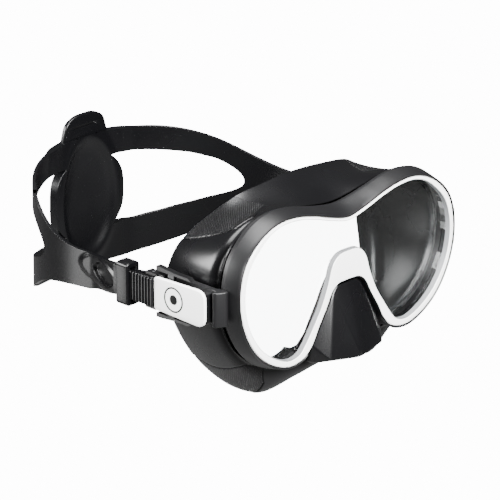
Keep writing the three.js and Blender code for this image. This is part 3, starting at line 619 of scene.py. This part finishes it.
def strap_spots():
    """One half of the strap laid flat: (bearing, z) spots and faces, welded where strips meet."""
    arm = np.linspace(-88, WINDOW_START, 150)
    front = WINDOW_START + 11 * (np.linspace(0, 1, 16)[1:] ** 1.8)
    side = np.linspace(36, WINDOW_CORNER, 44)[1:]
    web = np.linspace(WINDOW_CORNER, 90, 22)
    bearings = np.concatenate([arm, front, side, web[1:]])
    strips = [
        strip(bearings, strap_height(bearings, 2), strap_height(bearings, 1), 16),
        strip(bearings, strap_height(bearings, 4), strap_height(bearings, 3), 16),
    ]
    low, high = strap_height(web, 3), strap_height(web, 2)
    rows = 34
    share = np.linspace(-1, 1, rows)
    bulge = WINDOW_CORNER - (WINDOW_CORNER - WEB_EDGE) * (1 - np.abs(share) ** 3.2)
    columns = bulge[None] + (90 - bulge[None]) * ((web - WINDOW_CORNER) / (90 - WINDOW_CORNER))[:, None]
    strips.append(strip(columns, low, high, rows))
    spots, faces = [], []
    for points, quads in strips:
        base = sum(len(s) for s in spots)
        spots.append(points)
        faces += [tuple(base + i for i in quad) for quad in quads]
    return np.vstack(spots), faces


def ellipse(b_mm, z, centre_mm, centre_z, half_mm, half_z):
    return np.hypot((b_mm - centre_mm) / half_mm, (z - centre_z) / half_z)


def make_strap():
    spots, faces = strap_spots()
    bearing, z = spots[:, 0], spots[:, 1]
    x, depth = plan(bearing)
    x_after, depth_after = plan(np.minimum(bearing + 0.4, 92))
    x_before, depth_before = plan(bearing - 0.4)
    out = np.stack([depth_after - depth_before, x_before - x_after], axis=1)
    out /= np.linalg.norm(out, axis=1, keepdims=True)

    outside = np.full(len(x), STRAP_THICKNESS / 2 + 0.1)
    recess = ellipse(depth, z, 88.0, -7.6, 11.0, 4.8)
    ridge = ellipse(depth, z, 91.5, -8.0, 19.0, 7.8)
    on_arm = bearing < 20
    outside += on_arm * (1.1 * smoothstep(1.08, 0.86, ridge) - 1.7 * smoothstep(1.06, 0.88, recess))
    web_middle = -15.0
    dish = ellipse(x, z, 0, web_middle, 19.5, 33.0)
    on_web = smoothstep(32, 23, x) * (bearing > 60)
    rolled_rim = np.exp(-((dish - 1.0) / 0.14) ** 2)
    inside_relief = STRAP_THICKNESS / 2 + 0.1 + on_web * (0.9 + 1.6 * rolled_rim)
    cup = on_web * 2.2 * smoothstep(1.3, 0.2, dish)
    outside += on_web * 1.6

    def layer(distance):
        return np.column_stack([x + out[:, 0] * distance, depth + out[:, 1] * distance, z])

    front_layer = layer(outside + cup)
    back_layer = layer(-inside_relief + cup)
    both_sides = ([1, 1, 1], [-1, 1, 1])
    fronts = np.vstack([at(front_layer * side) for side in both_sides])
    backs = np.vstack([at(back_layer * side) for side in both_sides])
    work = bmesh.new()
    for points, turned in ((fronts, False), (backs, True)):
        verts = [work.verts.new(p) for p in points]
        for base, mirrored in ((0, False), (len(front_layer), True)):
            for quad in faces:
                corners = [verts[base + i] for i in quad]
                work.faces.new(corners[::-1] if turned != mirrored else corners)
    bmesh.ops.remove_doubles(work, verts=work.verts, dist=2e-6)
    close_rim(work, fronts, backs)
    mesh = bpy.data.meshes.new("strap_band")
    work.to_mesh(mesh)
    work.free()
    place_mesh("strap_band", mesh, STRAP_SILICONE, "strap_assembly", ["strap"],
               crease=40, bevel=0.45)


def close_rim(work, front_points, back_points):
    """Joins the open borders of two matching layers with quads."""
    pairs = {tuple(np.round(f, 6)): tuple(np.round(b, 6)) for f, b in zip(front_points, back_points)}
    lookup = {tuple(np.round(v.co, 6)): v for v in work.verts}
    for edge in [e for e in work.edges if e.is_boundary]:
        a, b = (tuple(np.round(v.co, 6)) for v in edge.verts)
        if a in pairs and b in pairs and pairs[a] in lookup and pairs[b] in lookup:
            quad = [edge.verts[0], edge.verts[1], lookup[pairs[b]], lookup[pairs[a]]]
            if len(set(quad)) == 4:
                work.faces.new(quad)


# ---- flat moulded slabs ----

def slab(name, outlines, thickness, radius, corner, x_axis, y_axis):
    """A flat plate with rounded edges from mm outlines, the first the outside and the rest holes."""
    shape = bpy.data.curves.new(name, "CURVE")
    shape.dimensions = "2D"
    shape.fill_mode = "BOTH"
    shape.extrude = (thickness / 2 - radius) * MM
    shape.bevel_depth = radius * MM
    shape.bevel_resolution = 3
    for outline in outlines:
        spline = shape.splines.new("POLY")
        spline.points.add(len(outline) - 1)
        for spot, (u, v) in zip(spline.points, outline):
            spot.co = (u * MM, v * MM, 0, 1)
        spline.use_cyclic_u = True
    holder = bpy.data.objects.new(name, shape)
    bpy.context.collection.objects.link(holder)
    mesh = settled(holder)
    across, up = Vector(x_axis), Vector(y_axis)
    normal = across.cross(up)
    origin = Vector(at([corner])[0])
    for vertex in mesh.vertices:
        u, v, w = vertex.co
        vertex.co = origin + across * u + up * v + normal * w
    return mesh


def rounded(corners, radii, steps=6):
    """A closed outline with rounded corners; radii is one number or one for each corner."""
    corners = [np.array(c, float) for c in corners]
    radii = np.broadcast_to(radii, len(corners))
    points = []
    for i, corner in enumerate(corners):
        before, after = corners[i - 1], corners[(i + 1) % len(corners)]
        to_before = (before - corner) / np.linalg.norm(before - corner)
        to_after = (after - corner) / np.linalg.norm(after - corner)
        a, b = corner + to_before * radii[i], corner + to_after * radii[i]
        for s in np.linspace(0, 1, steps):
            points.append(a * (1 - s) ** 2 + corner * 2 * s * (1 - s) + b * s ** 2)
    return points


def circle(centre, radius, steps=48):
    angles = np.arange(steps) / steps * 2 * math.pi
    return [(centre[0] + radius * math.cos(a), centre[1] + radius * math.sin(a)) for a in angles]


def make_pull_tab():
    corners = [(-15.5, 16.5), (15.5, 16.5), (12.5, 27), (6, 30), (-6, 30), (-12.5, 27)]
    outline = rounded(corners, [0.4, 0.4, 3, 3, 3, 3])
    slot = rounded([(-8.2, 23.2), (-8.2, 25.2), (8.2, 25.2), (8.2, 23.2)], 0.9)
    mesh = slab("pull_tab", [outline, slot], 2.6, 0.6, (0, LOOP_BACK - 0.2, 0), (1, 0, 0), (0, 0, 1))
    place_mesh("strap_pull_tab", mesh, STRAP_SILICONE, "strap_assembly", ["strap"])


def make_caps():
    """White buckle covers with a plain printed ring and dot."""
    for name, side in SIDES:
        corners = [(12.8, BUCKLE_Z - 9.1), (46.8, BUCKLE_Z - 8), (46.8, BUCKLE_Z + 8), (12.8, BUCKLE_Z + 9.1)]
        outline = rounded(corners, [5, 1.6, 1.6, 5])
        mesh = slab("cap", [outline], 2.0, 0.55, (side * 87.6, 0, 0), (0, 1, 0), (0, 0, 1))
        place_mesh(f"buckle_cover_{name}", mesh, WHITE_PLASTIC, "strap_assembly",
                   [f"buckle_cap_{name}"])
        centre = (33.4, BUCKLE_Z)
        ring = slab("ring", [circle(centre, 6.5), circle(centre, 5.75)], 0.24, 0.02,
                    (side * 88.58, 0, 0), (0, 1, 0), (0, 0, 1))
        place_mesh(f"cover_ring_print_{name}", ring, PRINT_INK, "strap_assembly",
                   [f"buckle_cap_{name}"])
        dot = slab("dot", [circle(centre, 2.5)], 0.24, 0.02, (side * 88.58, 0, 0), (0, 1, 0), (0, 0, 1))
        place_mesh(f"cover_dot_print_{name}", dot, PRINT_INK, "strap_assembly",
                   [f"buckle_cap_{name}"])


LUG_PLAN = [(78.5, 6.4), (79.6, 6.2), (84.4, 8.8), (84.4, 10.3), (81.4, 10.5), (81.4, 32), (79.4, 32),
            (79.4, 12.8), (78.5, 11.6)]
LUG_HEIGHT = 18.0


def make_lugs():
    """The frame's arms that carry the buckles, shown without the bores that the pins turn in."""
    outline = rounded(LUG_PLAN, [0.3, 0.8, 1.0, 0.4, 0.2, 0.8, 0.8, 0.5, 0.5], 4)
    for name, side in SIDES:
        mesh = slab("lug", [outline], LUG_HEIGHT, 0.5, (0, 0, BUCKLE_Z), (side, 0, 0), (0, 1, 0))
        place_mesh(f"buckle_arm_{name}", mesh, FRAME_PLASTIC, "mask", [f"buckle_lug_{name}"])


def make_keepers():
    for name, side in SIDES:
        inside_x, outside_x, half = 83.5, 91.0, 10.6
        outer = rounded([(inside_x, -half), (outside_x, -half), (outside_x, half), (inside_x, half)], 1.6)
        hole = rounded([(84.9, -9.2), (84.9, 9.2), (89.6, 9.2), (89.6, -9.2)], 0.8)
        mesh = slab("keeper", [outer, hole], 8.0, 0.6, (0, 67, BUCKLE_Z), (side, 0, 0), (0, 0, 1))
        place_mesh(f"keeper_ring_{name}", mesh, STRAP_SILICONE, f"strap_keeper_{name}",
                   [f"strap_keeper_{name}"])


RIB_COUNT = 8
RIB_PITCH = 2.1


def repeated_ribs(name, rib, first, step, count):
    """A row of ribs laid out by geometry nodes: a mesh line of points, one rib on each."""
    tree = bpy.data.node_groups.new(name, "GeometryNodeTree")
    tree.interface.new_socket("Rib", in_out="INPUT", socket_type="NodeSocketObject")
    tree.interface.new_socket("Count", in_out="INPUT", socket_type="NodeSocketInt")
    tree.interface.new_socket("First", in_out="INPUT", socket_type="NodeSocketVector")
    tree.interface.new_socket("Step", in_out="INPUT", socket_type="NodeSocketVector")
    tree.interface.new_socket("Ribs", in_out="OUTPUT", socket_type="NodeSocketGeometry")
    source = tree.nodes.new("NodeGroupInput")
    target = tree.nodes.new("NodeGroupOutput")
    line = tree.nodes.new("GeometryNodeMeshLine")
    info = tree.nodes.new("GeometryNodeObjectInfo")
    instance = tree.nodes.new("GeometryNodeInstanceOnPoints")
    realize = tree.nodes.new("GeometryNodeRealizeInstances")
    paint = tree.nodes.new("GeometryNodeSetMaterial")
    paint.inputs["Material"].default_value = STRAP_SILICONE
    for a, b in (
        (source.outputs["Rib"], info.inputs["Object"]),
        (source.outputs["Count"], line.inputs["Count"]),
        (source.outputs["First"], line.inputs["Start Location"]),
        (source.outputs["Step"], line.inputs["Offset"]),
        (line.outputs["Mesh"], instance.inputs["Points"]),
        (info.outputs["Geometry"], instance.inputs["Instance"]),
        (instance.outputs["Instances"], realize.inputs["Geometry"]),
        (realize.outputs["Geometry"], paint.inputs["Geometry"]),
        (paint.outputs["Geometry"], target.inputs["Ribs"]),
    ):
        tree.links.new(a, b)
    holder = bpy.data.objects.new(name, bpy.data.meshes.new(name))
    bpy.context.collection.objects.link(holder)
    rows = holder.modifiers.new("rows", "NODES")
    rows.node_group = tree
    values = {"Rib": rib, "Count": count, "First": first, "Step": step}
    for item in tree.interface.items_tree:
        if item.name in values:
            rows[item.identifier] = values[item.name]
    return settled(holder)


def make_tails():
    """The strap's end: round the roller, back along the outside and ribbed for the buckle's pawl."""
    outer_radius = WRAP_RADIUS + STRAP_THICKNESS / 2
    inner_radius = WRAP_RADIUS - STRAP_THICKNESS / 2
    turn = np.radians(np.linspace(180, 360, 20))
    for name, side in SIDES:
        outer, inner = ([(ROLLER_X + radius * math.cos(a), ROLLER_DEPTH + radius * math.sin(a)) for a in turn]
                        for radius in (outer_radius, inner_radius))
        tip = [(ROLLER_X + outer_radius, 75.0), (ROLLER_X + inner_radius + 0.4, 75.0)]
        profile = outer + tip + inner[::-1]
        mesh = slab("tail", [profile], 15.0, 0.3, (0, 0, BUCKLE_Z), (side, 0, 0), (0, 1, 0))
        place_mesh(f"strap_tail_{name}", mesh, STRAP_SILICONE, "strap_assembly", ["strap"])
        face = ROLLER_X + outer_radius
        outline = rounded([(face - 0.3, -7.2), (face + 1.0, -7.2), (face + 1.0, 7.2), (face - 0.3, 7.2)], 0.5)
        rib_mesh = slab("rib", [outline], 1.25, 0.3, (0, -FRONT, 0), (side, 0, 0), (0, 0, 1))
        rib = bpy.data.objects.new("rib", rib_mesh)
        bpy.context.collection.objects.link(rib)
        first = at([[0, ROLLER_DEPTH - 2.6, BUCKLE_Z]])[0]
        ribs = repeated_ribs(f"ribs_{name}", rib, tuple(first), (0, RIB_PITCH * MM, 0), RIB_COUNT)
        bpy.data.objects.remove(rib)
        place_mesh(f"strap_tail_ribs_{name}", ribs, STRAP_SILICONE, "strap_assembly",
                   ["strap"])


# ---- assembly ----

make_trim()
make_frame()
make_skirt()
make_skirt_web()
make_nose()
make_strap()
make_pull_tab()
make_caps()
make_lugs()
make_keepers()
make_tails()
repaint("lens", LENS_GLASS)
for side_name, _ in SIDES:
    repaint(f"buckle_body_{side_name}", BUCKLE_NYLON, 0.3)
    repaint(f"release_tab_upper_{side_name}", BUCKLE_NYLON, 0.3)
    repaint(f"release_tab_lower_{side_name}", BUCKLE_NYLON, 0.3)
    repaint(f"locking_pawl_{side_name}", BUCKLE_NYLON, 0.15)
    repaint(f"strap_roller_{side_name}", BUCKLE_NYLON, 0.15)
    repaint(f"release_spring_{side_name}", STEEL)
    repaint(f"pivot_pin_{side_name}", STEEL, 0.2)
    repaint(f"roller_pin_{side_name}", STEEL, 0.1)


# ---- studio ----

def area_light(name, place, aim, width, height, power):
    data = bpy.data.lights.new(name, "AREA")
    data.shape = "RECTANGLE"
    data.size, data.size_y, data.energy = width, height, power
    made = bpy.data.objects.new(name, data)
    made.location = place
    made.rotation_euler = (Vector(place) - Vector(aim)).to_track_quat("Z", "Y").to_euler()
    bpy.context.collection.objects.link(made)


def lit_floor():
    """White sweep paper; it looks evenly lit to the camera, as overexposed paper does."""
    material = start("white_sweep_paper")
    place = node(material, "ShaderNodeTexCoord").outputs["Object"]
    fibres = node(material, "ShaderNodeTexNoise", {"Vector": place, "Scale": 60.0, "Detail": 3.0})
    tone = node(material, "ShaderNodeMapRange", {0: fibres.outputs[0], 3: 0.14, 4: 0.16})
    paper = node(material, "ShaderNodeBsdfDiffuse", {"Color": tone.outputs[0]})
    glow = node(material, "ShaderNodeEmission", {"Strength": PAPER_GLOW})
    seen = node(material, "ShaderNodeLightPath").outputs["Is Camera Ray"]
    mixed = node(material, "ShaderNodeMixShader", {0: seen, 1: paper.outputs[0], 2: glow.outputs[0]})
    return finish(material, mixed)


PAPER_GLOW = 14.0
ROOM_LIGHT = 0.1
FLOOR_LEVEL = -0.6
FLOOR_REACH = 12
floor_mesh = bpy.data.meshes.new("floor")
floor_mesh.from_pydata([(x * FLOOR_REACH, y * FLOOR_REACH, FLOOR_LEVEL)
                        for x, y in ((-1, -1), (1, -1), (1, 1), (-1, 1))], [], [(0, 1, 2, 3)])
floor = bpy.data.objects.new("floor", floor_mesh)
bpy.context.collection.objects.link(floor)
floor_mesh.materials.append(lit_floor())

world = bpy.data.worlds.new("studio")
bpy.context.scene.world = world
world.use_nodes = True
# The camera sees the same white paper above the horizon; the object sees a dim room.
background = world.node_tree.nodes["Background"]
background.inputs[0].default_value = (1, 1, 1, 1)
seen_by_camera = node(world, "ShaderNodeLightPath").outputs["Is Camera Ray"]
strength = node(world, "ShaderNodeMapRange", {0: seen_by_camera, 3: ROOM_LIGHT, 4: PAPER_GLOW})
world.node_tree.links.new(strength.outputs[0], background.inputs[1])
area_light("key_front", (-0.4, -1.3, 0.85), (0, 0, 0), 0.7, 0.7, 200)
area_light("top_soft", (-0.1, 0.2, 1.2), (0, 0, 0), 0.9, 0.6, 60)
area_light("low_side_soft", (-0.9, 0.9, -0.42), (0, 0.03, 0), 0.5, 0.3, 4)
area_light("side_soft", (-1.0, 0.95, 0.42), (0, 0.05, 0), 0.7, 0.5, 45)
